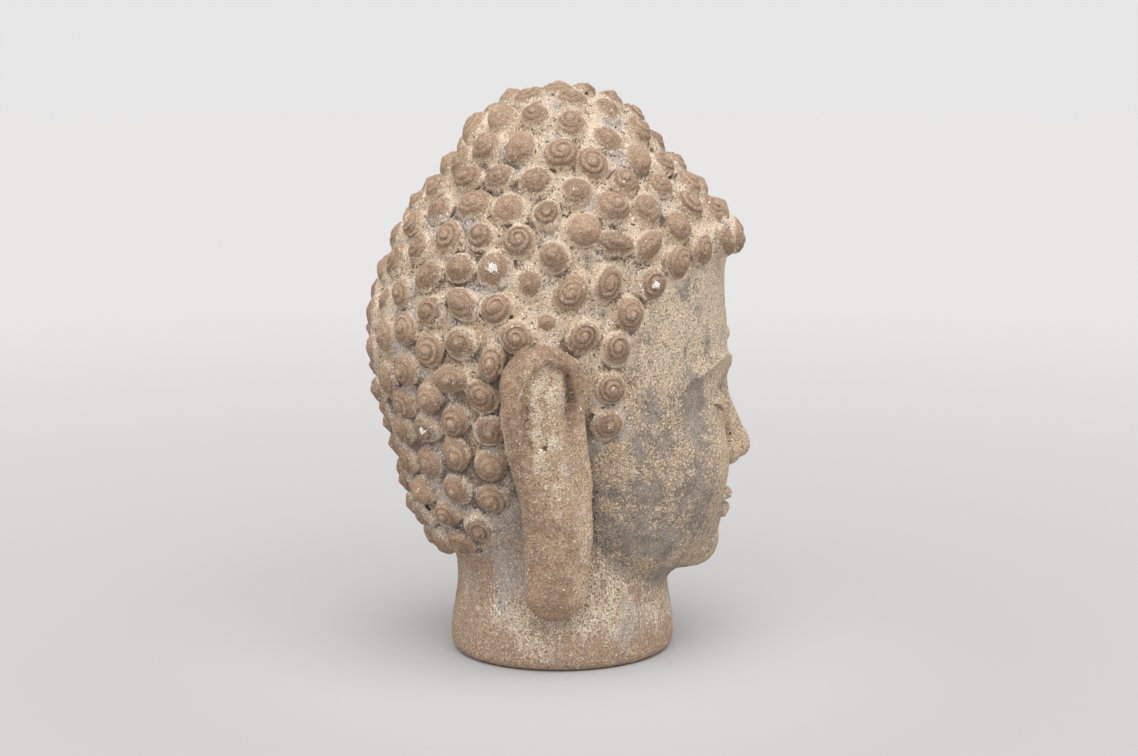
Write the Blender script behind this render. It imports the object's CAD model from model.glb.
"""The stone head of the Buddha with its finish: snail curls, pitted stone, lime wash and wear.

The head is drawn in parts, 460 to its height, as its solid is. A place is (x, f, z): x counts to the head's
left, f forward from the neck's axis and z up from the underside. The face looks along -Y, so y is minus f.
"""

import math

import bpy
import numpy as np
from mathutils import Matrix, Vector
from mathutils.kdtree import KDTree


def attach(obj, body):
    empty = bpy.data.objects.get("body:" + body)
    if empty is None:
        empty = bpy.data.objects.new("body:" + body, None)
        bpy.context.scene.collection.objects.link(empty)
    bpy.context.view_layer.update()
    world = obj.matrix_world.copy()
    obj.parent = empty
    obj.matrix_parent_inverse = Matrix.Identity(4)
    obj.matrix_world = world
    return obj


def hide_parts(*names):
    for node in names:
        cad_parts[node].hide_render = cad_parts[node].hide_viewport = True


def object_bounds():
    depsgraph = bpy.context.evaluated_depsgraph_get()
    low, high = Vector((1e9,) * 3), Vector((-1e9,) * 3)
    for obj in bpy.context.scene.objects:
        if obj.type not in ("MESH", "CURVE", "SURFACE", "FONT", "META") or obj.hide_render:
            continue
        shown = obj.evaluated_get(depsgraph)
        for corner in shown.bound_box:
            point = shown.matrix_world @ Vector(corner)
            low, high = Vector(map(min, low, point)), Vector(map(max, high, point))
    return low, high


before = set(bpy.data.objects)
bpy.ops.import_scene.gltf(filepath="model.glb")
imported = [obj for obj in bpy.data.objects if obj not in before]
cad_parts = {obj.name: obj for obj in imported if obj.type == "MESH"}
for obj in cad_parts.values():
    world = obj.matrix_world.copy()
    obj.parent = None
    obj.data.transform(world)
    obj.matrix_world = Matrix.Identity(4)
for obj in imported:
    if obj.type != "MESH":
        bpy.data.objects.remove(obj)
cad_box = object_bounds()

LAYOUT_GRID = 2.6  # parts between grid points, as in the solid, so that the curls fall in the same places
FINE_GRID = 1.2
TRIANGLES = 196000
LOW, HIGH = (-140, -180, -10.4), (140, 180, 470)  # the grid's corners
FAR = 60.0  # further than every blend reaches
FILLED = -0.1  # the distance at a grid point that is filled in
SLOPE_REACH = 4.0  # how far round a place the surface's slope is read
FLAT_BELOW = 0.3  # what lies this near the underside is laid flat into it
LAYOUT_SEED, FINISH_SEED, CRACK_SEED = 5, 11, 23

# The face's canon: three equal thirds from the hairline to the chin.
HAIRLINE = 318
THIRD = 86
BROW = HAIRLINE - THIRD
NOSE_BASE = BROW - THIRD
CHIN = NOSE_BASE - THIRD
EYE = BROW - 23
MOUTH = NOSE_BASE - 29
EYE_OUT = 43  # from the middle of the face to the middle of an eye

NECK_WIDTH, NECK_DEPTH = 80, 89  # half sizes
EDGE = 9  # how softly the neck turns into its underside

CURL_RADIUS, CURL_HEIGHT = 13.4, 10.6
CURL_DRAFT = 0.21  # how much narrower a curl gets for each part of its height
CURL_DOME = 0.03  # how fast its top falls away from its middle
CURL_SHOULDER, CURL_FILLET = 4, 2.6
CURL_SIZES, CURL_RISES = (0.92, 1.07), (0.9, 1.08)  # shares of the usual radius and height
CURL_LEAN = 1.2
COIL_PITCH = 4.3  # from one turn of a curl's coil to the next
COIL_DEPTH = 1.7
COIL_WEAR = (0.42, 0.28)  # how worn the coils are, and how much that varies
KNOB_HEIGHTS, KNOB_WIDTH = (0.3, 2.0), 3.2
BORDER_PITCH, SCALP_PITCH = 28.5, 26.8
SETTLING = 6  # rounds in which the curls even out their places
# The rows of curls that edge the hair on the head's right side, from the forehead down to the end of the
# sideburn, and from above the ear round behind it to the nape.
FRONT_BORDER = [(0, 138, 338), (-52, 118, 336), (-76, 92, 332), (-93, 61, 319), (-102, 42, 302),
                (-108, 27, 281), (-111, 20, 252), (-106, 17, 203)]
BACK_BORDER = [(-112, -4, 272), (-109, -32, 283), (-103, -61, 269), (-96, -78, 236), (-93, -74, 208),
               (-86, -70, 155), (-79, -72, 131), (-64, -80, 111), (-44, -91, 100), (0, -108, 96)]

# The ear's outline is drawn by discs along this line, each (f, z, radius).
EAR_LINE = [(-36, 234, 31), (-34, 209, 29.5), (-30, 181, 28.5), (-22.5, 150, 26.5), (-20, 115, 24.5),
            (-21.5, 69, 22)]
# How far from the middle of the head the ear's outer side stands at each height.
EAR_HEIGHTS, EAR_SIDES = (50, 100, 150, 200, 250), (102, 107, 114, 121, 126)
EAR_THICKNESS = 15
EAR_ROOT = 60  # how near the middle of the head the slab of an ear reaches
# Curls that are worn down or run together, as a place, and shares of the usual size and height.
WORN_CURLS = [((-90, -60, 360), 1.2, 0.8), ((-100, -55, 320), 1.25, 0.9), ((-110, -50, 300), 0.9, 0.5),
              ((-115, -35, 280), 0.9, 0.45), ((-100, -20, 290), 0.9, 0.55), ((60, -110, 210), 1.1, 0.6),
              ((95, -20, 350), 1.15, 0.8), ((-20, -135, 290), 0.95, 0.5), ((-60, 20, 415), 1.15, 0.75)]
# Where the stone has flaked to white on top of a curl, as a place near the curl and the flake's size.
CHIPS = [((-90, -80, 315), 4), ((-105, 40, 305), 2.5), ((-70, -105, 195), 2.5)]
# How high the neck reaches, from its back to under the chin.
NECK_BACK_TO_FRONT, NECK_TOPS = (-110, -40, 0, 30, 60, 100), (135, 130, 120, 84, 66, 58)
# The unevenness of the casting, as layers of lumps: how deep they are on the skin, how much deeper in the
# hair, and how wide a lump is.
LUMP_LAYERS = [(0.35, 0, 26), (0.16, 0.24, 9), (0.14, 0.16, 4.4)]


def smooth_min(a, b, blend):
    h = np.maximum(blend - np.abs(a - b), 0) / blend
    return np.minimum(a, b) - h * h * blend / 4


def smooth_max(a, b, blend):
    return -smooth_min(-a, -b, blend)


def ellipsoid(centre, radii):
    """A shape is its distance function and the corners of its box."""
    centre, radii = np.float64(centre), np.float64(radii)
    c, r = centre.tolist(), radii.tolist()

    def distance(x, f, z):
        px, pf, pz = x - c[0], f - c[1], z - c[2]
        k0 = np.sqrt((px / r[0]) ** 2 + (pf / r[1]) ** 2 + (pz / r[2]) ** 2)
        k1 = np.sqrt((px / r[0] ** 2) ** 2 + (pf / r[1] ** 2) ** 2 + (pz / r[2] ** 2) ** 2)
        return k0 * (k0 - 1) / np.maximum(k1, 1e-6)

    return distance, centre - radii, centre + radii


def rod(points, radii, squash=(1, 1, 1)):
    """A rod through the points, with a radius at each. squash stretches it along x, f and z."""
    points, radii, squash = np.float64(points), np.float64(radii), np.float64(squash)

    def distance(x, f, z):
        best = FAR
        for a, b, radius_a, radius_b in zip(points[:-1], points[1:], radii[:-1], radii[1:]):
            d = ((b - a) / squash).tolist()
            px, pf, pz = ((v - float(p)) / float(s) for v, p, s in zip((x, f, z), a, squash))
            t = np.clip((px * d[0] + pf * d[1] + pz * d[2]) / sum(v * v for v in d), 0, 1)
            off = np.sqrt((px - t * d[0]) ** 2 + (pf - t * d[1]) ** 2 + (pz - t * d[2]) ** 2)
            best = np.minimum(best, off - (float(radius_a) + t * float(radius_b - radius_a)))
        return best * float(squash.min())

    reach = radii.max() * squash
    return distance, points.min(0) - reach, points.max(0) + reach


class Field:
    """Signed distances on a grid of points."""

    def __init__(self, step, kind=np.float64):
        self.step = step
        self.axes = [np.arange(low, high + step, step).astype(kind) for low, high in zip(LOW, HIGH)]
        self.value = np.full([len(axis) for axis in self.axes], FAR, kind)

    def window(self, low, high):
        """The part of the grid between two corners, and its x, f and z."""
        part = []
        for axis, a, b in zip(self.axes, low, high):
            first, last = np.searchsorted(axis, (a, b))
            part.append(slice(max(first - 1, 0), min(last + 2, len(axis))))
        x, f, z = (axis[cut] for axis, cut in zip(self.axes, part))
        return tuple(part), x[:, None, None], f[None, :, None], z[None, None, :]

    def change(self, shape, blend, reach, join):
        distance, low, high = shape
        part, x, f, z = self.window(low - reach, high + reach)
        self.value[part] = join(self.value[part], distance(x, f, z), blend)

    def add_whole(self, shape, blend):
        self.change(shape, blend, FAR, smooth_min)

    def add(self, shape, blend):
        self.change(shape, blend, blend + 3 * self.step, smooth_min)

    def cut(self, shape, blend):
        self.change(shape, blend, blend + 3 * self.step, lambda a, b, k: smooth_max(a, -b, k))

    def front(self, x, z):
        """How far forward the surface is at x and z."""
        column = self.value[np.searchsorted(self.axes[0], x), :, np.searchsorted(self.axes[2], z)]
        j = np.nonzero(column < 0)[0][-1]
        return float(self.axes[1][j] + self.step * column[j] / (column[j] - column[j + 1]))

    def draped(self, points, lift):
        """Points (x, z) laid on the front of the head, and raised by lift."""
        return [(x, self.front(x, z) + lift, z) for x, z in points]

    def sampled(self, places, value=None):
        """The field, or other values on its grid, read at places between the grid's points."""
        value = self.value if value is None else value
        share = [(places[:, i] - axis[0]) / self.step for i, axis in enumerate(self.axes)]
        first = [np.clip(s.astype(int), 0, n - 2) for s, n in zip(share, value.shape)]
        share = [s - i for s, i in zip(share, first)]
        total = 0
        for i, j, k in np.ndindex(2, 2, 2):
            weight = 1
            for s, corner in zip(share, (i, j, k)):
                weight = weight * (s if corner else 1 - s)
            total = total + weight * value[first[0] + i, first[1] + j, first[2] + k]
        return total

    def outward(self, place):
        """The direction straight out of the surface at a place."""
        steps = np.eye(3) * SLOPE_REACH
        slope = self.sampled(place + steps) - self.sampled(place - steps)
        return slope / np.sqrt((slope * slope).sum())


def close_pinches(value):
    """Fills grid points until the surface nowhere touches itself along an edge.

    It would do so in each square of four neighbouring points that has only two opposite ones inside.
    """
    pinched = True
    while pinched:
        pinched = False
        for u, w in ((0, 1), (1, 2), (2, 0)):
            corners = []
            for i, j in ((0, 0), (1, 1), (0, 1), (1, 0)):
                cut = [slice(None)] * 3
                cut[u], cut[w] = slice(i, i - 1 or None), slice(j, j - 1 or None)
                corners.append(value[tuple(cut)])
            inside = [corner < 0 for corner in corners]
            first = inside[0] & inside[1] & ~inside[2] & ~inside[3]
            second = inside[2] & inside[3] & ~inside[0] & ~inside[1]
            corners[2][first] = FILLED
            corners[0][second] = FILLED
            pinched |= bool(first.any() or second.any())


def surface(field):
    """The surface as points and quads: one point in each cell of the grid that it passes through."""
    value = np.round(field.value, 6)
    close_pinches(value)
    inside = value < 0
    corners = np.array(list(np.ndindex(2, 2, 2)))
    wide, deep, high = (n - 1 for n in value.shape)
    filled = sum(inside[i:i + wide, j:j + deep, k:k + high].astype(np.uint8) for i, j, k in corners)
    passed = (filled > 0) & (filled < 8)
    number = np.full(passed.shape, -1)
    cells = np.argwhere(passed)
    number[passed] = np.arange(len(cells))
    total, hits = np.zeros((len(cells), 3)), np.zeros(len(cells))
    for a in range(8):
        for b in range(a + 1, 8):
            if np.abs(corners[a] - corners[b]).sum() != 1:
                continue
            start, end = cells + corners[a], cells + corners[b]
            start_value, end_value = value[tuple(start.T)], value[tuple(end.T)]
            crossed = (start_value < 0) != (end_value < 0)
            t = np.where(crossed, start_value / np.where(crossed, start_value - end_value, 1), 0)
            total += np.where(crossed[:, None], start + t[:, None] * (end - start), 0)
            hits += crossed
    points = total / hits[:, None] * field.step + np.float64([axis[0] for axis in field.axes])
    quads = []
    for d in range(3):
        before, after = [slice(None)] * 3, [slice(None)] * 3
        before[d], after[d] = slice(0, -1), slice(1, None)
        start, end = inside[tuple(before)], inside[tuple(after)]
        edge = np.argwhere(start != end)
        u, w = np.eye(3, dtype=int)[[(d + 1) % 3, (d + 2) % 3]]
        ring = [edge - u - w, edge - w, edge, edge - u]
        quad = np.stack([number[tuple(cell.T)] for cell in ring], 1)
        turned = ~start[tuple(edge.T)]
        quad[turned] = quad[turned][:, ::-1]
        quads.append(quad)
    return points, np.concatenate(quads)


def largest(points, quads):
    """The surface without the loose bits and closed bubbles, which share no edge with its main part.

    Each edge takes the lowest label of its quads' edges, until every part has one label.
    """
    ends = np.sort(np.stack([quads, np.roll(quads, -1, 1)], 2), 2)
    key = ends[..., 0] * len(points) + ends[..., 1]
    edges = np.unique(key, return_inverse=True)[1].reshape(quads.shape)
    label = np.arange(edges.max() + 1)
    changed = True
    while changed:
        before = label.copy()
        lowest = label[edges].min(1)
        for edge in edges.T:
            np.minimum.at(label, edge, lowest)
        label = label[label]
        changed = (label != before).any()
    part = label[edges[:, 0]]
    quads = quads[part == np.bincount(part).argmax()]
    used = np.unique(quads)
    return points[used], np.searchsorted(used, quads)


def both_sides(change, make, blend):
    for side in (-1, 1):
        change(make(side), blend)


def add_skull(field):
    for centre, radii, blend in (
        ((0, -7, 256), (113, 142, 150), 12),  # the main mass
        ((0, 4, 322), (103, 126, 95), 16),  # the crown
        ((0, -3, 386), (70, 79, 66), 18),  # the mound on top
        ((0, 60, 337), (78, 78, 29), 14),  # the hair over the forehead
        ((0, -36, 172), (92, 91, 108), 18),  # the back, down to the nape
        ((0, 44, 172), (101, 86, 122), 22),  # the face
        ((0, 50, 116), (82, 72, 56), 22),  # the jaw
    ):
        field.add_whole(ellipsoid(centre, radii), blend)


def add_cheeks_and_chin(field):
    both_sides(field.add, lambda side: ellipsoid((side * 50, 84, NOSE_BASE + 12), (40, 40, 42)), 22)
    field.add(ellipsoid((0, 110, MOUTH + 1), (34, 22, 30)), 18)
    field.add(ellipsoid((0, 108, CHIN + 23), (28, 22, 21)), 16)


def add_brows(field):
    both_sides(field.cut, lambda side: ellipsoid((side * 47, 140, EYE + 1), (34, 21, 17)), 14)
    t = np.linspace(0, 1, 12)
    out, up = 10 + 76 * t, BROW - 5 + 17 * np.sin(np.pi * (0.05 + 0.85 * t))
    ridges = [rod(field.draped(zip(side * out, up), -2.4), 3.9 - 1.6 * t) for side in (-1, 1)]
    for ridge in ridges:
        field.add(ridge, 9)


def add_nose(field):
    field.add(rod([(0, 123, BROW + 2), (0, 130, EYE - 3), (0, 143, NOSE_BASE + 26)], (8.5, 9, 10.5)), 12)
    field.add(ellipsoid((0, 146, NOSE_BASE + 17), (12.5, 12.5, 11.5)), 8)
    both_sides(field.add, lambda side: ellipsoid((side * 14, 134, NOSE_BASE + 12), (9, 12, 9.5)), 6)
    both_sides(field.cut, lambda side: ellipsoid((side * 7.5, 142, NOSE_BASE + 1), (4.5, 7, 5)), 2)


def lid_line(t):
    """How far out and how high the closed lids meet, from an eye's inner corner to its outer one."""
    return EYE_OUT - 21 + 44 * t, EYE - 4 + 3 * t - 7.5 * np.sin(np.pi * t)


def add_eyes(field):
    """Closed eyes: the upper lid over the lower, parted by a fine curved slit."""
    both_sides(field.add, lambda side: ellipsoid((side * EYE_OUT, 103, EYE), (25, 20, 14.5)), 4)
    both_sides(field.add, lambda side: ellipsoid((side * EYE_OUT, 101, EYE - 9), (22, 18, 10)), 4)
    out, up = lid_line(np.linspace(0, 1, 9))
    for side in (-1, 1):
        lid = field.draped(zip(side * out, up + 2.2), -0.9)
        slit = field.draped(zip(side * out, up), 0.2)
        field.add(rod(lid, [1.9] * 9), 2)
        field.cut(rod(slit, [1.2] * 9), 1.5)


def mouth_line():
    """The line between the lips, as points (x, z)."""
    return [(x, MOUTH + 0.3 + 0.0018 * x * x - 0.8 * np.cos(x / 7)) for x in np.linspace(-33, 33, 15)]


def add_mouth(field):
    for side in (-1, 1):
        upper = [(0, 135, MOUTH + 6), (side * 12, 134.5, MOUTH + 7.5), (side * 31, 122, MOUTH + 1)]
        lower = [(0, 133.5, MOUTH - 7), (side * 13, 131, MOUTH - 6), (side * 28, 121, MOUTH - 1)]
        field.add(rod(upper, (5.5, 5.8, 1.8)), 3)
        field.add(rod(lower, (7, 6, 2)), 4)
    field.cut(rod(field.draped(mouth_line(), 0.3), [1.7] * 15), 2.5)
    field.cut(rod([(0, 141, NOSE_BASE), (0, 140.5, MOUTH + 14)], (3, 3.6)), 4)
    field.cut(ellipsoid((0, 138, MOUTH - 20), (18, 8, 5)), 8)


def add_urna(field):
    """The small round boss between the brows."""
    place = field.draped([(0, BROW + 25)], 0.5)[0]
    field.add(ellipsoid(place, (6.5, 4.2, 6.5)), 2)


def add_neck(field):
    x, f, z = field.axes[0][:, None, None], field.axes[1][None, :, None], field.axes[2][None, None, :]
    flare = 1 + 0.035 * np.exp(-((z - 14) / 26) ** 2) - 0.03 * np.exp(-((z - 62) / 26) ** 2)
    ring = (np.sqrt((x / (NECK_WIDTH * flare)) ** 2 + (f / (NECK_DEPTH * flare)) ** 2) - 1) * NECK_WIDTH
    field.value = smooth_min(field.value, smooth_max(ring, z - NOSE_BASE, 20), 7)


def bare_head(field):
    """The head without its ears and hair, and with no underside yet."""
    add_skull(field)
    add_cheeks_and_chin(field)
    add_brows(field)
    add_nose(field)
    add_eyes(field)
    add_mouth(field)
    add_urna(field)
    add_neck(field)
    return field


def add_carving(field):
    """The finest carving of the face: the edges of the brows, lids, nostrils and lips."""
    t = np.linspace(0, 1, 13)
    wave = np.sin(np.pi * t)
    out, slit = lid_line(t)
    edges, grooves = [], []
    for side in (-1, 1):
        brow = zip(side * (11 + 74 * t), BROW - 3.5 + 17 * np.sin(np.pi * (0.05 + 0.85 * t)))
        across = side * out
        edges.append(rod(field.draped(brow, -0.2), 2.1 - 0.9 * t))
        edges.append(rod(field.draped(zip(across, slit + 2.4), 0.2), 0.6 + 1.1 * wave))
        grooves.append(rod(field.draped(zip(across, slit - 0.2), -0.3), 0.8 + 0.7 * wave))
        grooves.append(rod(field.draped(zip(across, EYE + 1 + 2 * t + 9 * wave), 0.2), 0.5 + 0.9 * wave))
        grooves.append(rod(field.draped(zip(across, EYE - 9 + 2 * t - 9.5 * wave), 0.5), 0.4 + 0.9 * wave))
        wing = [(side * x, NOSE_BASE + z) for x, z in ((13, 22), (19, 20), (23.5, 14), (24, 8), (21.5, 3))]
        grooves.append(rod(field.draped(wing, 0.3), (0.6, 1.3, 1.5, 1.4, 0.8)))
    upper = ((-31, 2), (-19, 9), (-8, 12.5), (0, 10.8), (8, 12.5), (19, 9), (31, 2))
    lower = ((-27, -3.5), (-14, -11), (0, -13.3), (14, -11), (27, -3.5))
    for lip, side in ((upper, 1), (lower, -1)):
        rim = [(x, MOUTH + z) for x, z in lip]
        size = np.sin(np.linspace(0.12, 0.88, len(rim)) * np.pi)
        edges.append(rod(field.draped(rim, -0.3), 0.2 + 1.1 * size))
        grooves.append(rod(field.draped([(x, z + side * 2.9) for x, z in rim], 0.3), 0.3 + 1.3 * size))
    grooves.append(rod(field.draped(mouth_line(), 0.2), [1.2] * 15))
    for edge in edges:
        field.add(edge, 1.6)
    for groove in grooves:
        field.cut(groove, 1.2)
    return field


def ear_outline(f, z):
    """How far outside the ear's outline a place is."""
    outline = FAR
    for (fa, za, radius_a), (fb, zb, radius_b) in zip(EAR_LINE[:-1], EAR_LINE[1:]):
        df, dz = fb - fa, zb - za
        t = np.clip(((f - fa) * df + (z - za) * dz) / (df * df + dz * dz), 0, 1)
        off = np.sqrt((f - fa - t * df) ** 2 + (z - za - t * dz) ** 2)
        outline = np.minimum(outline, off - (radius_a + t * (radius_b - radius_a)))
    return outline


def ear_plate(side):
    """The flat slab that the ear is carved on. Behind its outer side it is a little smaller."""

    def distance(x, f, z):
        out = side * x - np.interp(z, EAR_HEIGHTS, EAR_SIDES).astype(z.dtype)
        smaller = 5 * np.clip((-out - EAR_THICKNESS) / 7, 0, 1)
        return smooth_max(ear_outline(f, z) + smaller, out + 3.5, 9)

    line = np.float64(EAR_LINE)
    low, high = (line[:, :2] - line[:, 2:]).min(0), (line[:, :2] + line[:, 2:]).max(0)
    across = sorted((side * EAR_ROOT, side * EAR_SIDES[-1]))
    return distance, np.float64([across[0], *low]), np.float64([across[1], *high])


def add_ear(field, side):
    def ridge(points, squash):
        """A rod over the ear's outer side. A point is (f, z, radius, how deep its axis lies)."""
        places = [(side * (np.interp(z, EAR_HEIGHTS, EAR_SIDES) - deep), f, z) for f, z, _, deep in points]
        return rod(places, [point[2] for point in points], (squash, 1, 1))

    bowl = [(-32, 237, 19, -5), (-31, 214, 18, -5), (-26, 190, 10, -5)]
    rim = [(-4, 160, 7, 7), (-6.5, 186, 5, 5), (-8, 210, 5, 4.5), (-9, 234, 6, 4.5), (-15, 250, 7.5, 4.5),
           (-29, 257, 8.5, 4.5), (-44, 253, 9.5, 4.5), (-56, 238, 10, 4.5), (-57, 213, 10.5, 4.5),
           (-52, 189, 11, 4.5), (-45, 165, 11.5, 5.5), (-37, 138, 12, 7.5)]
    fold = [(-32, 232, 14.5, 7.5), (-31.5, 210, 15, 7.5), (-27, 188, 15, 7.8)]
    groove = [(-17, 243, 2, 3), (-14.2, 224, 3.4, 3), (-14.5, 202, 3, 3), (-11.5, 182, 1.8, 2)]
    channel = [(-18, 246.5, 2.4, 0), (-30, 250, 3.2, -1), (-40, 246, 3.4, -1), (-47.5, 235, 3.4, -1),
               (-48.5, 216, 3.4, -1), (-46.5, 198, 3, -1), (-42.5, 180, 2.2, -0.6)]
    lobe = [(-27, 184, 17, 8.5), (-22, 150, 18, 8), (-20, 118, 19, 8), (-21, 74, 18, 8)]
    brim = [(-24, 243, 2.6, 3.4), (-33, 244, 3, 3), (-41, 238, 3.2, 3), (-44, 227, 3.2, 3),
            (-44, 211, 3.2, 3), (-42, 195, 3, 3.2), (-39, 180, 2.4, 4)]
    furrow = [(-31, 236, 2.6, -1.4), (-36.5, 229, 3.2, -1.2), (-38, 214, 3.4, -1.2), (-36.5, 199, 3, -1),
              (-33, 186, 2, -0.6)]
    field.add(ear_plate(side), 4)
    field.cut(ridge(bowl, 0.62), 5)
    field.add(ridge(rim, 0.75), 3)
    field.add(ridge(fold, 0.62), 3)
    field.cut(ridge(groove, 1.5), 3)
    field.cut(ridge(channel, 1.1), 3)
    field.add(ridge(lobe, 0.55), 12)
    field.add(ridge(brim, 0.7), 2)
    field.cut(ridge(furrow, 0.8), 2)


def spaced(path, pitch):
    """Points along a path, as near to the pitch apart as whole steps allow."""
    path = np.float64(path)
    run = np.concatenate([[0], np.cumsum(np.sqrt(((path[1:] - path[:-1]) ** 2).sum(1)))])
    along = np.linspace(0, run[-1], round(run[-1] / pitch) + 1)
    return np.stack([np.interp(along, run, path[:, i]) for i in range(3)], 1)


def distances(a, b):
    return np.sqrt(sum((a[:, None, i] - b[None, :, i]) ** 2 for i in range(3)))


def curl_places(skin):
    """Where the curls stand: the border rows first, then row after row up to the top of the head."""
    skin = np.round(skin, 4)
    right = np.concatenate([spaced(FRONT_BORDER, BORDER_PITCH), spaced(BACK_BORDER, BORDER_PITCH)])
    left = right[right[:, 0] < 0] * (-1, 1, 1)
    border = np.concatenate([right, left])
    border = skin[distances(border, skin).argmin(1)]
    edge = np.float64(BACK_BORDER[::-1] + FRONT_BORDER[5::-1])
    scalp = skin[skin[:, 2] > np.interp(skin[:, 1], edge[:, 1], edge[:, 2])]
    from_border = np.round(distances(scalp, border).min(1), 4)
    chosen = list(border)
    for i in np.lexsort((scalp[:, 0], scalp[:, 1], from_border)):
        apart = np.sqrt(((np.float64(chosen) - scalp[i]) ** 2).sum(1)).min()
        if apart >= SCALP_PITCH:
            chosen.append(scalp[i])
    places, first = np.float64(chosen), len(border)
    for _ in range(SETTLING):
        owner = distances(scalp, places).argmin(1)
        number = np.maximum(np.bincount(owner, minlength=len(places)), 1)
        total = [np.bincount(owner, scalp[:, i], len(places)) for i in range(3)]
        middle = np.stack(total, 1) / number[:, None]
        places[first:] = scalp[distances(middle[first:], scalp).argmin(1)]
    return places


class Curl:
    """One snail curl: where it stands, how it leans, its size, and how worn its coil is."""

    def __init__(self, place, outward, size, rise, chance):
        self.place, self.outward = place, outward
        self.radius, self.height = CURL_RADIUS * size, CURL_HEIGHT * rise
        self.wear = float(np.clip(chance.normal(*COIL_WEAR), 0, 1))
        self.tone = float(chance.uniform())
        self.knob = float(chance.uniform(*KNOB_HEIGHTS))
        turn = chance.uniform(0, 2 * math.pi)
        across = np.cross(outward, (0.3, 0.2, 1.0))
        across /= np.sqrt((across ** 2).sum())
        along = np.cross(outward, across)
        # The curls on the two sides of the head are wound opposite ways.
        self.u = math.cos(turn) * across + math.sin(turn) * along
        self.v = (math.cos(turn) * along - math.sin(turn) * across) * (1 if place[0] < 0 else -1)
        self.lean = chance.normal(0, CURL_LEAN, 2)
        self.oval = 1 + chance.normal(0, 0.06 + 0.08 * self.wear)
        self.dent = chance.uniform(0, 2 * math.pi, 3)
        self.pitch = COIL_PITCH * chance.uniform(0.92, 1.12)

    def local(self, x, f, z):
        """A place's two coordinates across the curl, as it leans, and its height along it."""
        px, pf, pz = (v - float(p) for v, p in zip((x, f, z), self.place))
        directions = (self.u, self.v, self.outward)
        u, v, up = (px * float(d[0]) + pf * float(d[1]) + pz * float(d[2]) for d in directions)
        lean = np.clip(up / self.height, 0, 1.2)
        return u - float(self.lean[0]) * lean, v - float(self.lean[1]) * lean, up

    def winding(self, u, v):
        """How far out a place is along the curl's uneven turns, and at what angle."""
        angle = np.arctan2(v, u)
        off = np.sqrt((u * self.oval) ** 2 + (v / self.oval) ** 2)
        return off * (1 + 0.06 * np.cos(angle + self.dent[2])), angle

    def shape(self):
        """A round bun with uneven sides, on which a coil winds up in steps to a knob in the middle."""

        def distance(x, f, z):
            u, v, up = self.local(x, f, z)
            off, angle = self.winding(u, v)
            turns = off / self.pitch - angle / (2 * math.pi)
            groove = (0.5 + 0.5 * np.cos(2 * math.pi * turns)) ** 1.5
            inner = np.clip((off - 1.6) / 2, 0, 1) * np.clip((self.radius - off) / 3, 0, 1)
            depth = COIL_DEPTH * (1 - self.wear) * (0.58 + 0.42 * np.cos(angle - self.dent[0]))
            knob = self.knob * np.exp(-(off / KNOB_WIDTH) ** 2)
            bulge = 0.45 * np.cos(2 * angle + self.dent[1]) + 0.35 * np.cos(3 * angle + self.dent[2])
            side = off - self.radius + bulge + CURL_DRAFT * np.maximum(up, 0)
            top = (up - self.height - knob + depth * groove * inner + CURL_DOME * off * off) * 0.88
            return smooth_max(side, top, CURL_SHOULDER)

        return distance, self.place - self.radius - 1, self.place + self.radius + 1

    def crevice(self, start, length):
        """A crack along part of the curl's foot."""
        bend = start + length * np.linspace(-0.5, 0.5, 5)
        reach = self.radius - 0.4
        directions = [math.cos(a) * self.u + math.sin(a) * self.v for a in bend]
        points = [self.place + reach * d + 0.6 * self.outward for d in directions]
        return rod(points, (0.3, 1.1, 1.5, 1.1, 0.3))


def nearest(curls, place):
    """The curl nearest to a place."""
    return min(curls, key=lambda curl: np.abs(curl.place - place).sum())


def make_curls(bare):
    """Curls of slightly uneven sizes, standing straight out of the bare head."""
    chance, finish = np.random.default_rng(LAYOUT_SEED), np.random.default_rng(FINISH_SEED)
    curls = []
    for place in curl_places(surface(bare)[0]):
        size, rise = chance.uniform(*CURL_SIZES), chance.uniform(*CURL_RISES)
        curls.append(Curl(place, bare.outward(place), size, rise, finish))
    for place, size, rise in WORN_CURLS:
        curl = nearest(curls, place)
        curl.radius, curl.height, curl.wear = curl.radius * size, curl.height * rise, 1
    return curls


def whole_head(bare, curls, cracked=False):
    """The whole head on the bare head's grid."""
    field = Field(bare.step, bare.value.dtype)
    field.value = bare.value.copy()
    for side in (-1, 1):
        add_ear(field, side)
    for curl in curls:
        field.add(curl.shape(), CURL_FILLET)
    if cracked:
        chance = np.random.default_rng(CRACK_SEED)
        for curl in curls:
            for _ in range(chance.integers(0, 3)):
                field.cut(curl.crevice(chance.uniform(0, 2 * math.pi), chance.uniform(0.5, 1.3)), 0.8)
    below = -field.axes[2][None, None, :] + np.zeros_like(field.value)
    field.value = smooth_max(field.value, below, EDGE)
    return field


def lumps(places, size, seed):
    """Smooth noise from -1 to 1 whose lumps are about this many parts wide."""
    cells = 32
    lattice = np.random.default_rng(seed).uniform(-1, 1, (cells, cells, cells))
    share = places / size
    first = np.floor(share).astype(int)
    share = share - first
    share = share * share * (3 - 2 * share)
    total = 0
    for corner in np.ndindex(2, 2, 2):
        weight = np.prod([share[:, i] if c else 1 - share[:, i] for i, c in enumerate(corner)], 0)
        total = total + weight * lattice[tuple(((first + corner) % cells).T)]
    return total


def vectors_of(items, name):
    out = np.empty(len(items) * 3, np.float32)
    items.foreach_get(name, out)
    return out.reshape(-1, 3).astype(float)


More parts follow.
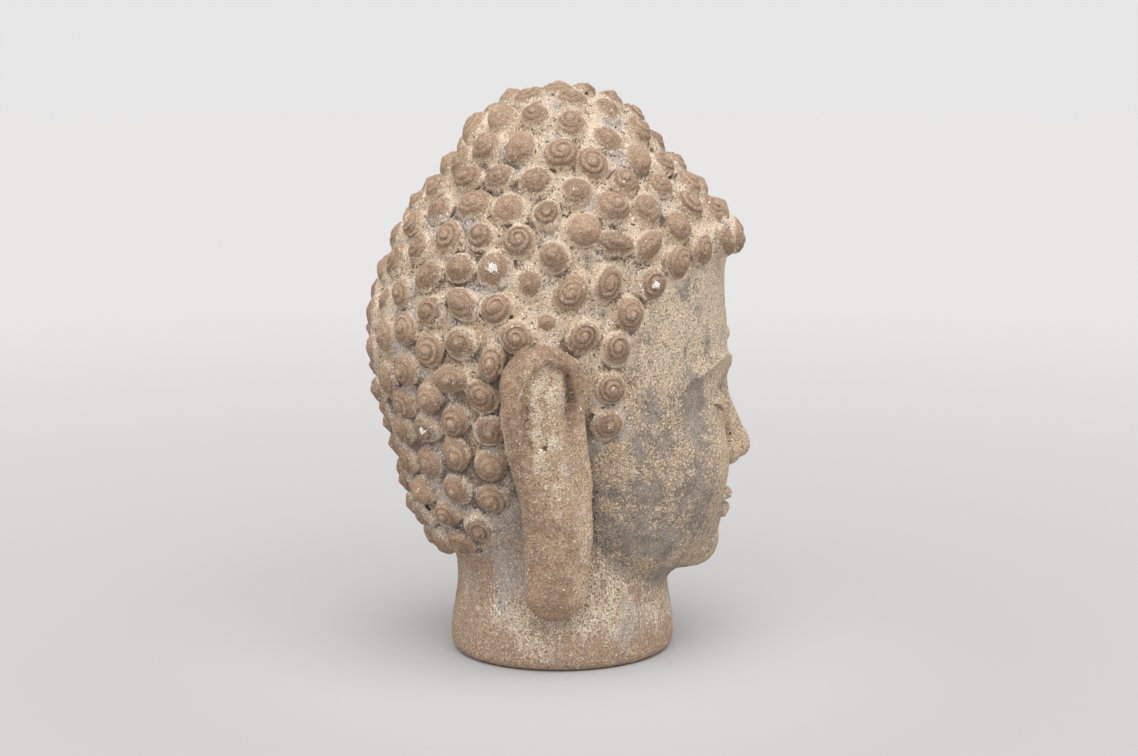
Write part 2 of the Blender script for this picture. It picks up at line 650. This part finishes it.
def worn(mesh, bare):
    """Uneven casting and weathering, as small moves of the surface in and out. The underside stays flat.

    The hair is rougher than the bare skin.
    """
    places, outward = vectors_of(mesh.vertices, "co"), vectors_of(mesh.vertex_normals, "vector")
    rough = np.clip(bare.sampled(places * (1, -1, 1)) / 4, 0, 1)
    move = 0
    for seed, (depth, deeper, size) in enumerate(LUMP_LAYERS, 1):
        move = move + (depth + deeper * rough) * lumps(places, size, seed)
    places += outward * (move * np.clip((places[:, 2] - 3) / 8, 0, 1))[:, None]
    mesh.vertices.foreach_set("co", places.ravel())


def placed(name, data):
    """A new object in the scene."""
    thing = bpy.data.objects.new(name, data)
    bpy.context.scene.collection.objects.link(thing)
    return thing


def thinned(mesh, triangles):
    """The mesh with only so many triangles."""
    shell = placed("shell", mesh)
    thin = shell.modifiers.new("thin", "DECIMATE")
    thin.ratio = min(1, triangles / sum(len(face.vertices) - 2 for face in mesh.polygons))
    thin.use_collapse_triangulate = True
    graph = bpy.context.evaluated_depsgraph_get()
    result = bpy.data.meshes.new_from_object(shell.evaluated_get(graph))
    bpy.data.objects.remove(shell)
    bpy.data.meshes.remove(mesh)
    return result


def blurred(value, cells):
    """Values on a grid averaged over a cube of cells, once along each axis and then once more."""
    kernel = 2 * cells + 1
    for axis in (0, 1, 2, 0, 1, 2):
        padded = np.concatenate([np.repeat(value.take([0], axis), cells + 1, axis), value,
                                 np.repeat(value.take([-1], axis), cells, axis)], axis)
        total = np.cumsum(padded, axis)
        n = value.shape[axis]
        value = (total.take(range(kernel, kernel + n), axis) - total.take(range(n), axis)) / kernel
    return value


def bends(mesh):
    """How sharply the surface bends at each vertex: above 0 in a crease, below 0 on an edge."""
    places, outward = vectors_of(mesh.vertices, "co"), vectors_of(mesh.vertex_normals, "vector")
    ends = np.empty(len(mesh.edges) * 2, np.int32)
    mesh.edges.foreach_get("vertices", ends)
    a, b = ends.reshape(-1, 2).T
    count = len(places)
    number = np.bincount(a, minlength=count) + np.bincount(b, minlength=count)

    def around(values):
        return (np.bincount(a, values[b], count) + np.bincount(b, values[a], count)) / number

    step = places[b] - places[a]
    square = (step * step).sum(1)
    spread = (np.bincount(a, square, count) + np.bincount(b, square, count)) / number
    middle = np.stack([around(places[:, i]) for i in range(3)], 1)
    bend = 2 * ((middle - places) * outward).sum(1) / spread
    return (bend + around(bend)) / 2


def give(mesh, name, values):
    """Keeps a value, or a place, for each vertex, for the material to read."""
    kind, field = ("FLOAT_VECTOR", "vector") if np.ndim(values) == 2 else ("FLOAT", "value")
    mesh.attributes.new(name, kind, "POINT").data.foreach_set(field, np.ravel(values).astype(np.float32))


def nearest_curls(places, curls):
    """Which curl is nearest to each place, and where the place is on that curl."""
    tree = KDTree(len(curls))
    for i, curl in enumerate(curls):
        tree.insert(curl.place, i)
    tree.balance()
    near = np.array([tree.find(place)[1] for place in places.tolist()])
    local = np.zeros((len(places), 3))
    for i, curl in enumerate(curls):
        mine = near == i
        u, v, up = curl.local(*places[mine].T)
        off, angle = curl.winding(u, v)
        local[mine] = np.stack([off * np.cos(angle), off * np.sin(angle), up], 1)
    return near, local


def mark(mesh, bare, whole, curls):
    """Keeps what the material has to know at each vertex: curls, hollows, ears, hair and neck."""
    places = vectors_of(mesh.vertices, "co") * (1, -1, 1)
    near, local = nearest_curls(places, curls)

    def of_curl(name):
        return np.array([getattr(curl, name) for curl in curls])[near]

    off = np.hypot(local[:, 0], local[:, 1])
    rise = bare.sampled(places)
    out = np.abs(places[:, 0]) - np.interp(places[:, 2], EAR_HEIGHTS, EAR_SIDES)
    inside = -ear_outline(places[:, 1], places[:, 2])
    ear = np.clip((out + EAR_THICKNESS + 4) / 6, 0, 1) * np.clip((inside + 3) / 2, 0, 1) * (rise > 1)
    on_curl = np.clip((of_curl("radius") + 1.5 - off) / 1.5, 0, 1) * np.clip(rise / 1.5, 0, 1) * (1 - ear)
    hair = np.clip((22 - off) / 5, 0, 1) * (1 - ear)
    solid = blurred((whole.value < 0).astype(np.float32), 2)
    limit = np.interp(places[:, 1], NECK_BACK_TO_FRONT, NECK_TOPS)
    local[:, :2] *= (COIL_PITCH / of_curl("pitch"))[:, None]
    chip = np.full(len(places), -FAR)
    for place, size in CHIPS:
        curl = nearest(curls, place)
        away = places - curl.place - curl.height * curl.outward
        chip = np.maximum(chip, size - np.sqrt((away ** 2).sum(1)))
    kept = {
        "curl": local, "tone": of_curl("tone"), "wear": of_curl("wear"), "on_curl": on_curl, "hair": hair,
        "top": (local[:, 2] / of_curl("height")) * on_curl, "ear": ear, "ear_inside": inside,
        "neck": np.clip((limit - places[:, 2]) / 12, 0, 1) * (1 - ear) * (1 - on_curl),
        "hollow": (whole.sampled(places, solid) - 0.5) * 2, "bend": bends(mesh), "chip": chip,
        "facing": vectors_of(mesh.vertex_normals, "vector")[:, 2],
    }
    for name, values in kept.items():
        give(mesh, name, values)


def build_head():
    bare = bare_head(Field(LAYOUT_GRID))
    curls = make_curls(bare)
    whole = whole_head(bare, curls)
    carved = add_carving(bare_head(Field(FINE_GRID, np.float32)))
    points, quads = largest(*surface(whole_head(carved, curls, cracked=True)))
    mesh = bpy.data.meshes.new("buddha_head_stone")
    mesh.from_pydata(points * (1, -1, 1), [], quads[:, ::-1].tolist())
    worn(mesh, bare)
    mesh = thinned(mesh, TRIANGLES)
    mark(mesh, bare, whole, curls)
    places = vectors_of(mesh.vertices, "co")
    places[places[:, 2] < FLAT_BELOW, 2] = 0
    places *= cad_box[1][2] / places[:, 2].max()
    mesh.vertices.foreach_set("co", places.ravel())
    mesh.update()
    mesh.shade_smooth()
    return placed("buddha_head_stone", mesh)


# The stone's colours, from the darkest dirt to the lime.
PIT = (0.060, 0.043, 0.031)
GRIME = (0.165, 0.127, 0.098)
DEEP_GREY, GREY = (0.200, 0.170, 0.147), (0.290, 0.250, 0.220)
DEEP_BROWN, BROWN = (0.275, 0.180, 0.122), (0.420, 0.283, 0.193)
OCHRE = (0.495, 0.350, 0.228)
TAN = (0.540, 0.412, 0.292)
DEEP_LILAC, LILAC = (0.310, 0.268, 0.245), (0.440, 0.390, 0.362)
SAND = (0.690, 0.545, 0.395)
CREAM = (0.670, 0.545, 0.412)
LIME = (0.790, 0.700, 0.575)
CHIP = (0.80, 0.77, 0.72)
MILLIMETRES = 1000  # in a metre


class Graph:
    """The nodes of a material, added one by one. Sizes of its patterns are in millimetres."""

    def __init__(self, material):
        material.use_nodes = True
        self.nodes, self.links = material.node_tree.nodes, material.node_tree.links
        where = self.add("TexCoord").outputs["Object"]
        self.place = self.add("VectorMath", {0: where, "Scale": MILLIMETRES}, operation="SCALE").outputs[0]

    def add(self, kind, inputs=(), **settings):
        node = self.nodes.new("ShaderNode" + kind)
        for name, value in settings.items():
            setattr(node, name, value)
        for key, value in dict(inputs).items():
            self.put(value, node.inputs[key])
        return node

    def put(self, value, socket):
        if isinstance(value, bpy.types.NodeSocket):
            self.links.new(value, socket)
        elif socket.type == "RGBA" and len(value) == 3:
            socket.default_value = (*value, 1)
        else:
            socket.default_value = value

    def kept(self, name, output="Fac"):
        return self.add("Attribute", attribute_name=name).outputs[output]

    def math(self, operation, *values):
        return self.add("Math", enumerate(values), operation=operation).outputs[0]

    def total(self, *values):
        result = values[0]
        for value in values[1:]:
            result = self.math("ADD", result, value)
        return result

    def times(self, *values):
        result = values[0]
        for value in values[1:]:
            result = self.math("MULTIPLY", result, value)
        return result

    def noise(self, size, seed, detail=2.0, roughness=0.5, squeeze=(1, 1, 1)):
        """Noise about 0, mostly between -0.2 and 0.2. squeeze below 1 makes streaks along that axis."""
        inputs = {0: self.place, 1: squeeze, 2: (seed * 371.0, seed * 173.0, 0)}
        place = self.add("VectorMath", inputs, operation="MULTIPLY_ADD").outputs[0]
        inputs = {"Vector": place, "Scale": 1 / size, "Detail": detail, "Roughness": roughness}
        return self.math("SUBTRACT", self.add("TexNoise", inputs).outputs[0], 0.5)

    def step(self, value, low, high):
        """0 below low, 1 above high and smooth between. With low above high it falls instead."""
        if low > high:
            return self.math("SUBTRACT", 1, self.step(value, high, low))
        inputs = {0: value, 1: low, 2: high}
        return self.add("MapRange", inputs, interpolation_type="SMOOTHSTEP").outputs[0]

    def mix(self, share, first, second):
        return self.add("Mix", {0: share, 6: first, 7: second}, data_type="RGBA").outputs[2]


def coil(g):
    """How far inside a groove of its curl's coil a place lies, from 0 to 1."""
    u, v, _ = g.add("SeparateXYZ", {0: g.kept("curl", "Vector")}).outputs
    off = g.math("SQRT", g.total(g.times(u, u), g.times(v, v)))
    turn = g.math("DIVIDE", g.math("ARCTAN2", v, u), 2 * math.pi)
    turns = g.math("SUBTRACT", g.math("DIVIDE", off, COIL_PITCH), turn)
    wave = g.math("COSINE", g.times(turns, 2 * math.pi))
    groove = g.math("POWER", g.math("MULTIPLY_ADD", wave, 0.5, 0.5), 2.0)
    inner = g.times(g.step(off, 1.6, 3.6), g.step(off, 12.0, 9.5))
    fresh = g.math("SUBTRACT", 1, g.kept("wear"))
    return g.times(groove, inner, fresh, g.kept("on_curl"))


class Stone:
    """The layers of the stone's colour, which share their sand grains.

    Heights and places forward are in millimetres. A step's last two numbers are where it starts and ends.
    """

    def __init__(self, g):
        self.g = g
        self.tone = g.math("SUBTRACT", g.kept("tone"), 0.5)
        self.facing = g.kept("facing")
        _, back, self.height = g.add("SeparateXYZ", {0: g.place}).outputs
        self.forward = g.math("MULTIPLY", back, -1)
        self.light_grain, self.dark_grain = g.noise(1.7, 21, 2, 0.6), g.noise(1.8, 22, 2, 0.6)
        self.blotch = g.noise(6.5, 23, 3, 0.6)
        self.dirty = g.noise(19, 26, 3, 0.6)

    def speckled(self, colour, light, dark, pale=0.0, deep=0.0):
        """A colour with sand grains in it. pale and deep let more of the light and the dark ones show."""
        g = self.g
        light_ones = g.step(g.total(self.light_grain, pale), 0.07, 0.17)
        dark_ones = g.step(g.total(self.dark_grain, deep), 0.08, 0.18)
        return g.mix(g.times(dark_ones, 0.80), g.mix(g.times(light_ones, 0.85), colour, light), dark)

    def skin(self, bend):
        """The bare stone of the face: sandy ochre, with smooth grey patches where the slip still holds.

        It is rubbed pale on sharp edges and dark in creases.
        """
        g = self.g
        ground = g.mix(g.step(g.noise(16, 1, 4, 0.6), -0.10, 0.14), g.mix(0.25, OCHRE, GREY), TAN)
        ground = g.mix(g.times(g.step(self.height, 190, 265), 0.6), ground, CREAM)
        sandy = self.speckled(ground, SAND, GRIME, 0.04, 0.02)
        broad = g.noise(44, 3, 4, 0.62, (1, 1, 0.7))
        ragged = g.total(g.times(self.blotch, 0.34), g.times(self.light_grain, -0.30))
        low = g.times(g.step(self.height, 190, 70), 0.08)
        middle = g.times(g.step(self.forward, 95, 125), -0.12)
        smooth = g.step(g.total(broad, ragged, low, middle), -0.055, 0.075)
        slip = g.mix(g.step(g.noise(13, 5, 3), -0.12, 0.12), DEEP_GREY, GREY)
        slip = self.speckled(slip, TAN, GRIME, -0.09, -0.09)
        rubbed = g.times(g.step(g.total(bend, g.times(self.light_grain, 0.3)), -0.08, -0.28), 0.65)
        stone = g.mix(g.times(smooth, 0.85), sandy, slip)
        stone = g.mix(g.times(g.step(bend, 0.06, 0.30), 0.7), stone, GRIME)
        return g.mix(rubbed, stone, SAND), smooth

    def neck(self):
        """The neck: pale and coarsely speckled, brown at its foot, and grey behind the ears."""
        g = self.g
        streaks = g.step(g.noise(17, 6, 4, 0.6, (1, 1, 0.35)), -0.14, 0.12)
        ground = g.mix(streaks, TAN, CREAM)
        behind = g.times(g.step(self.forward, 0, -55), g.step(self.height, 25, 85))
        grey = g.step(g.total(g.noise(30, 27, 3, 0.5, (1, 1, 0.5)), g.times(behind, 0.30)), 0.00, 0.14)
        lilac = g.mix(g.step(self.blotch, -0.15, 0.12), DEEP_LILAC, LILAC)
        ground = g.mix(g.times(grey, 0.8), ground, lilac)
        pale = g.math("SUBTRACT", g.times(streaks, 0.06), g.times(grey, 0.05))
        sandy = self.speckled(ground, LIME, GRIME, pale, g.math("SUBTRACT", 0.065, g.times(grey, 0.07)))
        foot = g.times(g.step(self.height, 58, 4), 0.24)
        back = g.times(g.step(self.forward, -30, -75), 0.14)
        broad = g.noise(34, 7, 4, 0.65, (1, 1, 0.6))
        stain = g.total(broad, foot, back, g.times(self.blotch, 0.4), -0.01)
        brown = self.speckled(g.mix(0.6, DEEP_BROWN, BROWN), TAN, GRIME, 0.02, 0)
        return g.mix(g.times(g.step(stain, 0.00, 0.16), 0.85), sandy, brown)

    def scalp(self, top):
        """Between the curls: sand and dirt, duller low on the back, and lime wash up the curls' flanks."""
        g = self.g
        high = g.times(g.step(self.height, 200, 420), 0.12)
        wash = g.mix(g.step(g.total(g.noise(24, 8, 3), high), -0.12, 0.16), OCHRE, CREAM)
        low = g.times(g.step(self.height, 280, 120), 0.14)
        dull = g.step(g.total(g.noise(28, 10, 3, 0.6), low, g.times(self.blotch, 0.3)), 0.02, 0.17)
        wash = g.mix(g.times(dull, 0.8), wash, LILAC)
        flank = g.step(g.total(top, g.times(self.blotch, 0.6)), 0.05, 0.35)
        wash = g.mix(g.times(flank, g.math("SUBTRACT", 0.85, g.times(dull, 0.35))), wash, CREAM)
        dark = g.mix(0.4, GRIME, BROWN)
        return self.speckled(wash, LIME, dark, 0.0, g.math("SUBTRACT", self.dirty, 0.03))

    def bun(self, groove, bend):
        """A curl's top: brown slip, rubbed paler on its coil's ridges, darker in its groove and below."""
        g = self.g
        below = g.times(g.step(self.facing, 0.35, -0.45), -0.30)
        tone = g.total(g.times(self.tone, 0.35), self.blotch, below)
        brown = g.mix(g.step(tone, -0.35, 0.20), DEEP_BROWN, BROWN)
        brown = g.mix(g.times(g.step(bend, -0.02, -0.22), 0.45), brown, TAN)
        brown = self.speckled(brown, TAN, GRIME, -0.06, -0.06)
        return g.mix(g.times(groove, 0.55), brown, g.mix(0.5, GRIME, DEEP_BROWN))

    def ear(self):
        """The ear: brown round its rim and at its tip, and sandy and pale within."""
        g = self.g
        low = g.times(g.step(self.height, 170, 80), -16)
        ragged = g.total(g.times(self.blotch, 30), g.times(g.noise(30, 25, 3), 40))
        inside = g.total(g.kept("ear_inside"), ragged, low)
        brown = g.mix(g.step(self.blotch, -0.2, 0.2), DEEP_BROWN, BROWN)
        lobe = g.step(self.height, 225, 175)
        inner = g.times(g.step(self.forward, -54, -24), g.step(self.height, 40, 115))
        sandy = g.times(g.step(g.noise(26, 28, 4, 0.6), -0.12, 0.12), lobe, inner)
        brown = g.mix(sandy, brown, g.mix(0.25, OCHRE, BROWN))
        tip = g.step(self.height, 105, 60)
        grains = g.times(g.total(lobe, -1, g.times(tip, -0.7)), 0.05)
        brown = self.speckled(brown, g.mix(0.5, TAN, SAND), GRIME, grains, -0.02)
        brown = g.mix(g.times(g.step(self.facing, -0.05, -0.65), 0.6), brown, DEEP_BROWN)
        pale = g.mix(g.step(g.noise(12, 15, 3), -0.08, 0.12), OCHRE, CREAM)
        pale = self.speckled(pale, LIME, GRIME, 0.0, 0.02)
        front_edge = g.times(g.step(self.forward, -15, 0), g.step(self.height, 255, 185))
        within = g.math("MAXIMUM", g.step(inside, 6, 24), g.times(front_edge, 0.7))
        return g.mix(within, brown, pale)


def weathered_stone():
    material = bpy.data.materials.new("weathered_stone")
    g = Graph(material)
    stone = Stone(g)
    hollow, bend, hair, top = (g.kept(name) for name in ("hollow", "bend", "hair", "top"))
    groove = coil(g)

    face, smooth = stone.skin(bend)
    bare = g.mix(g.kept("neck"), face, stone.neck())
    ragged = g.total(g.times(stone.blotch, 0.7), g.times(stone.light_grain, -0.3))
    worn_top = g.total(top, g.times(stone.tone, 0.3), ragged)
    bun = g.step(worn_top, 0.26, 0.64)
    scalp = g.mix(bun, stone.scalp(top), stone.bun(groove, bend))
    colour = g.mix(hair, bare, scalp)
    colour = g.mix(g.kept("ear"), colour, stone.ear())

    under = g.times(g.step(stone.facing, 0.05, -0.75), 0.16)
    behind = g.times(g.step(stone.height, 330, 170), hair, 0.15)
    dirt = g.total(g.times(hollow, 0.8), g.times(bend, 0.9), g.times(stone.dirty, 1.2), under, behind)
    grime = g.step(g.total(dirt, g.times(stone.dark_grain, 0.8)), 0.28, 0.60)
    colour = g.mix(g.times(grime, 0.88), colour, GRIME)
    pits = g.times(g.step(g.noise(3.4, 16, 2), 0.15, 0.20), g.step(hollow, -0.10, 0.20))
    cracks = g.step(g.total(bend, g.times(stone.dark_grain, 0.5)), 0.42, 0.62)
    colour = g.mix(g.times(g.math("MAXIMUM", pits, cracks), 0.85), colour, PIT)
    flecks = g.step(g.noise(3.3, 17, 1), 0.25, 0.27)
    chip = g.total(g.kept("chip"), g.times(g.noise(2.2, 29, 1), 9), g.times(stone.blotch, 12))
    flecks = g.math("MAXIMUM", flecks, g.step(chip, 0, 0.8))
    colour = g.mix(flecks, colour, CHIP)
    mottle = g.total(1, g.times(stone.light_grain, 0.8), g.times(g.noise(1.2, 24, 1), 1.3))
    colour = g.add("VectorMath", {0: colour, "Scale": mottle}, operation="SCALE").outputs[0]

    grain = g.math("SUBTRACT", g.times(stone.light_grain, 1.1), stone.dark_grain)
    grain = g.total(grain, g.times(stone.blotch, 1.4))
    relief = g.total(g.times(grain, g.math("SUBTRACT", 1, g.times(smooth, 0.5))), g.times(groove, -0.8))
    relief = g.total(relief, g.times(pits, -1.2), g.times(bun, 0.3))
    bump = g.add("Bump", {"Height": relief, "Distance": 1 / MILLIMETRES, "Strength": 1.0}).outputs[0]
    glaze = g.times(g.step(g.noise(10, 20, 1), 0.22, 0.25), bun)
    rough = g.math("SUBTRACT", 0.93, g.times(g.math("MAXIMUM", glaze, flecks), 0.50))

    shader = g.nodes["Principled BSDF"]
    for name, value in {"Base Color": colour, "Roughness": rough, "Normal": bump}.items():
        g.put(value, shader.inputs[name])
    shader.inputs["Specular IOR Level"].default_value = 0.35
    return material


# The camera stands where the photograph was taken from.
CAMERA_TURN, CAMERA_RISE, CAMERA_AWAY = -100, 9, 1.5
TARGET = Vector((0, -0.0055, 0.2215))
LENS, SENSOR = 58.5, 36
# Each light's turn from the camera, rise, strength and spread, with angles in degrees.
KEY, FILL = (22, 66, 2.0, 60), (-50, 45, 0.5, 70)
BACKDROP = (0.80, 0.796, 0.80)
FLOOR_RADIUS = 30
FLOOR_TINT = (1, 0.99, 0.985)
FLOOR_NEAR, FLOOR_FAR, FLOOR_FADE = 0.455, 0.54, (200, 2600)
FLOOR_UNDER, UNDER_HEAD = 1.12, (380, 150)  # how much paler the floor is under the head, and where


def bearing(turn, rise):
    """The direction towards a turn and rise in degrees, as the camera's are counted."""
    turn, rise = math.radians(turn), math.radians(rise)
    return Vector((math.sin(turn) * math.cos(rise), -math.cos(turn) * math.cos(rise), math.sin(rise)))


def camera():
    lens = bpy.data.cameras.new("camera")
    lens.lens, lens.sensor_width = LENS, SENSOR
    view = placed("camera", lens)
    toward = bearing(CAMERA_TURN, CAMERA_RISE)
    view.location = TARGET + toward * CAMERA_AWAY
    view.rotation_euler = toward.to_track_quat("Z", "Y").to_euler()
    bpy.context.scene.camera = view


def sun(name, turn, rise, strength, spread):
    light = bpy.data.lights.new(name, "SUN")
    light.energy, light.angle = strength, math.radians(spread)
    toward = bearing(CAMERA_TURN + turn, rise)
    placed(name, light).rotation_euler = toward.to_track_quat("Z", "Y").to_euler()


def studio():
    """A pale floor that fades into an even backdrop, under soft light from above."""
    bpy.context.scene.view_settings.view_transform = "Standard"
    world = bpy.data.worlds.new("backdrop")
    world.use_nodes = True
    world.node_tree.nodes["Background"].inputs["Color"].default_value = (*BACKDROP, 1)
    bpy.context.scene.world = world
    sun("key", *KEY)
    sun("fill", *FILL)

    bpy.ops.mesh.primitive_circle_add(vertices=96, radius=FLOOR_RADIUS, fill_type="TRIFAN")
    floor = bpy.context.object
    floor.name = "floor"
    paper = bpy.data.materials.new("pale_floor")
    g = Graph(paper)
    across = g.add("VectorMath", {0: g.place}, operation="LENGTH").outputs["Value"]
    shades = (FLOOR_NEAR, FLOOR_FAR, FLOOR_NEAR * FLOOR_UNDER)
    near, away, under = (tuple(shade * tint for tint in FLOOR_TINT) for shade in shades)
    open_floor = g.mix(g.step(across, *FLOOR_FADE), near, away)
    shader = g.nodes["Principled BSDF"]
    g.put(g.mix(g.step(across, *UNDER_HEAD), open_floor, under), shader.inputs["Base Color"])
    shader.inputs["Roughness"].default_value = 1
    shader.inputs["Specular IOR Level"].default_value = 0
    floor.data.materials.append(paper)


def main():
    camera()
    studio()
    head = build_head()
    head.data.materials.append(weathered_stone())
    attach(head, "root")
    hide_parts("buddha_head")


main()
